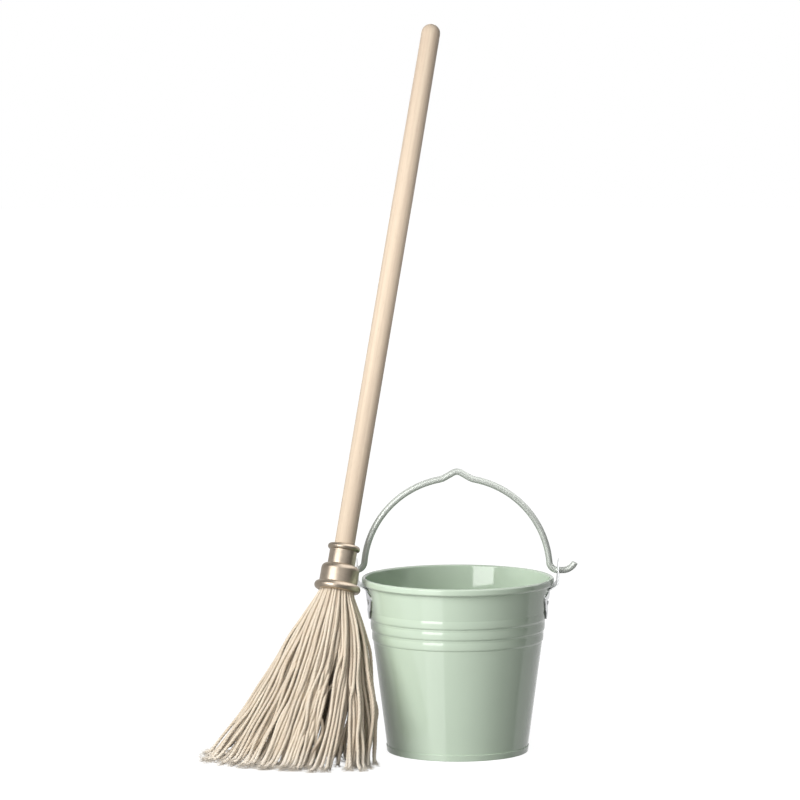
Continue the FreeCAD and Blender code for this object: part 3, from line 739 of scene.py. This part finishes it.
def make_yarn(finish):
    """One piece for each lock of yarn in the CAD, of the strands that leave the cup nearest to it."""
    bundle = Bundle()
    lines, start_angle = strand_lines(bundle)
    outward = unit(lines[:, -1, :2] - bundle.foot[0])
    phase = rng.uniform(0, 2 * math.pi, STRANDS)
    tone = np.clip(rng.normal(TONE_MEAN, TONE_SPREAD, STRANDS), 0, 1)
    names = [lock.replace("yarn_lock_", "") for lock in yarn_locks()]
    places = {name: lock_angle(bundle, "yarn_lock_" + name) for name in names}
    for number, name in enumerate(names):
        gap = {other: abs(np.angle(np.exp(1j * (start_angle - places[other])))) for other in names}
        mine = np.array([min(names, key=lambda other: gap[other][k]) == name for k in range(STRANDS)])
        centres, normals, binormals, radii = twisted(lines[mine], phase[mine], outward[mine])
        points, faces = tubes(centres, normals, binormals, radii, PLY_SIDES)
        ply_tone = np.repeat(tone[mine], PLIES) + rng.normal(0, PLY_TONE_SPREAD, mine.sum() * PLIES)
        share = np.linspace(0, 1, STRAND_SAMPLES)
        tip = np.clip(1 - (1 - share) * STRAND_LENGTH / FRAY_FADE, 0, 1)
        ring = STRAND_SAMPLES * PLY_SIDES
        uv = np.stack([np.tile(np.arange(PLY_SIDES) / PLY_SIDES, STRAND_SAMPLES * len(centres)),
                       np.tile(np.repeat(share * UV_LENGTH, PLY_SIDES), len(centres))], 1)
        uv[:, 1] += np.repeat(rng.uniform(0, UV_SHIFT, len(centres)), ring)
        fray = np.tile(np.repeat(tip, PLY_SIDES), len(centres))
        plies = (points, faces, np.repeat(ply_tone, ring), fray, uv)
        path, across, depth, thin = frayed(centres)
        fibre_points, fibre_faces = tubes(path, across, depth, thin, FIBRE_SIDES)
        size = FIBRE_SAMPLES * FIBRE_SIDES
        fibre_tone = np.repeat(np.repeat(ply_tone, FIBRES_PER_PLY), size)
        fibre_uv = np.repeat(rng.uniform(0, UV_SHIFT, (len(path), 2)), size, axis=0)
        fibres = (fibre_points, fibre_faces, fibre_tone, np.ones(len(fibre_points)), fibre_uv)
        piece = mesh_piece("yarn_" + name, [plies, fibres], finish)
        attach(piece, "mop")
        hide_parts("yarn_lock_" + name)
        if number == 0:
            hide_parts("yarn_root")


def lock_angle(bundle, lock):
    """Direction in which a lock of yarn lies from the bundle's middle."""
    offset = vertices(lock).mean(0)
    centre = bundle.centre(offset[2])
    return math.atan2(offset[1] - centre[1], offset[0] - centre[0])


# ---- carried nodes ----

def dress_nodes():
    """Gives each CAD node the material of its slot in the record."""
    finishes = {
        "bucket_enamel": enamel("bucket_enamel", BUCKET_GREEN, roughness=0.045, coat=0.25, metallic=0.0),
        "bail_enamel": enamel("bail_enamel", BAIL_GREEN, roughness=0.34, coat=0.0, metallic=0.3),
        "zinc": zinc("zinc"),
        "bare_steel": steel("bare_steel"),
        "ferrule_bronze": bronze("ferrule_bronze"),
        "beech": beech("beech"),
        "cotton_yarn": cotton("cotton_yarn"),
    }
    for part in frame["record"]["subparts"]:
        mesh = frame["nodes"][part["node"]].data
        mesh.materials.clear()
        mesh.materials.append(finishes[part["material_slot"]])
    return finishes


# ---- studio ----

def from_azimuth(azimuth, elevation, distance, target):
    way = Vector((math.sin(azimuth) * math.cos(elevation), -math.cos(azimuth) * math.cos(elevation),
                  math.sin(elevation)))
    return target + way * distance


def area_light(name, place, target, size, power, spread=math.pi):
    light = bpy.data.lights.new(name, "AREA")
    light.spread = spread
    light.shape = "RECTANGLE"
    light.size, light.size_y = size
    light.energy = power
    made = bpy.data.objects.new(name, light)
    made.location = place
    made.rotation_euler = (place - target).to_track_quat("Z", "Y").to_euler()
    made.visible_camera = False
    made.visible_glossy = False
    bpy.context.scene.collection.objects.link(made)


def by_azimuth(tree, azimuth, levels):
    stops = [((place + 180) / 360, float(level)) for place, level in levels]
    return ramp(tree, between(tree, azimuth, -180.0, 180.0), stops)


def studio_world():
    """White to the camera, a graded ambient to diffuse surfaces, and a furnished studio to glossy ones."""
    world = bpy.data.worlds.new("studio")
    bpy.context.scene.world = world
    world.use_nodes = True
    tree = world.node_tree
    tree.nodes.clear()
    way = add(tree, "SeparateXYZ", {0: add(tree, "TexCoord").outputs["Generated"]})
    away = maths(tree, "MULTIPLY", way.outputs[1], -1.0)
    azimuth = maths(tree, "DEGREES", maths(tree, "ARCTAN2", way.outputs[0], away))
    elevation = maths(tree, "DEGREES", maths(tree, "ARCSINE", way.outputs[2]))
    above = between(tree, elevation, WINDOW_FROM - WINDOW_EDGE, WINDOW_FROM + WINDOW_EDGE)
    soft = maths(tree, "MULTIPLY", by_azimuth(tree, azimuth, SOFTBOX), SOFTBOX_RADIANCE)
    wide = between(tree, elevation, WINDOW_WIDENS - WINDOW_EDGE, WINDOW_WIDENS + WINDOW_EDGE)
    narrow = by_azimuth(tree, azimuth, WINDOW)
    pane = add(tree, "Mix", {0: wide, 2: narrow, 3: by_azimuth(tree, azimuth, WINDOW_ABOVE)})
    window = maths(tree, "MULTIPLY", pane.outputs[0], WINDOW_RADIANCE)
    box = add(tree, "Mix", {0: above, 2: soft, 3: window}).outputs[0]
    low = between(tree, elevation, BOUNCE_BELOW - BOUNCE_EDGE, BOUNCE_BELOW + BOUNCE_EDGE, 1.0, 0.0)
    bounce = maths(tree, "MULTIPLY", by_azimuth(tree, azimuth, BOUNCE), low)
    wall = maths(tree, "ADD", maths(tree, "ADD", by_azimuth(tree, azimuth, SURROUND), bounce), box)
    high = between(tree, elevation, PANEL_FROM - PANEL_EDGE, PANEL_FROM + PANEL_EDGE)
    lit = add(tree, "Mix", {0: high, 2: wall, 3: by_azimuth(tree, azimuth, PANEL)}).outputs[0]
    shown = between(tree, elevation, DARK_BELOW - DARK_EDGE, DARK_BELOW, DARK_SHARE, 1.0)
    glossy = maths(tree, "MULTIPLY", lit, shown)
    dim = between(tree, way.outputs[0], 1.0, -1.0, *AMBIENT)
    path = add(tree, "LightPath")
    seen = add(tree, "Mix", {0: path.outputs["Is Glossy Ray"], 2: dim, 3: glossy}).outputs[0]
    seen = add(tree, "Mix", {0: path.outputs["Is Camera Ray"], 2: seen, 3: 1.0}).outputs[0]
    light = add(tree, "Background", {0: (1, 1, 1, 1), 1: seen})
    add(tree, "OutputWorld", {0: light.outputs[0]})


def floor():
    mesh = bpy.data.meshes.new("floor")
    turn = np.arange(FLOOR_SIDES) * 2 * math.pi / FLOOR_SIDES
    ring = [(FLOOR_RADIUS * math.cos(a), FLOOR_RADIUS * math.sin(a), 0) for a in turn]
    mesh.from_pydata(ring, [], [list(range(FLOOR_SIDES))])
    mesh.materials.append(floor_paint("floor"))
    made = bpy.data.objects.new("floor", mesh)
    bpy.context.scene.collection.objects.link(made)
    made.visible_glossy = False


def camera():
    lens = bpy.data.cameras.new("camera")
    lens.lens = CAMERA_LENS
    lens.sensor_width = SENSOR_WIDTH
    made = bpy.data.objects.new("camera", lens)
    made.location = CAMERA_PLACE
    made.rotation_euler = (math.pi / 2 - CAMERA_PITCH, 0, 0)
    bpy.context.scene.collection.objects.link(made)
    bpy.context.scene.camera = made


def studio():
    bpy.context.scene.view_settings.view_transform = "Standard"
    low, high = cad_box
    middle = (Vector(low) + Vector(high)) / 2
    target = Vector((middle.x, middle.y, middle.z * TARGET_HEIGHT))
    key_place = from_azimuth(KEY_AZIMUTH, KEY_ELEVATION, KEY_DISTANCE, target)
    area_light("key", key_place, target, KEY_SIZE, KEY_POWER)
    fill_place = from_azimuth(FILL_AZIMUTH, FILL_ELEVATION, FILL_DISTANCE, target)
    area_light("fill", fill_place, target, FILL_SIZE, FILL_POWER)
    area_light("top", Vector((middle.x, middle.y, TOP_HEIGHT)), target, TOP_SIZE, TOP_POWER)
    handle = Vector((middle.x, middle.y, RIM_HEIGHT))
    rim_place = from_azimuth(RIM_AZIMUTH, 0.0, RIM_DISTANCE, handle)
    area_light("rim", rim_place, handle, RIM_SIZE, RIM_POWER, RIM_SPREAD)
    studio_world()
    floor()


camera()
finishes = dress_nodes()
make_yarn(finishes["cotton_yarn"])
studio()
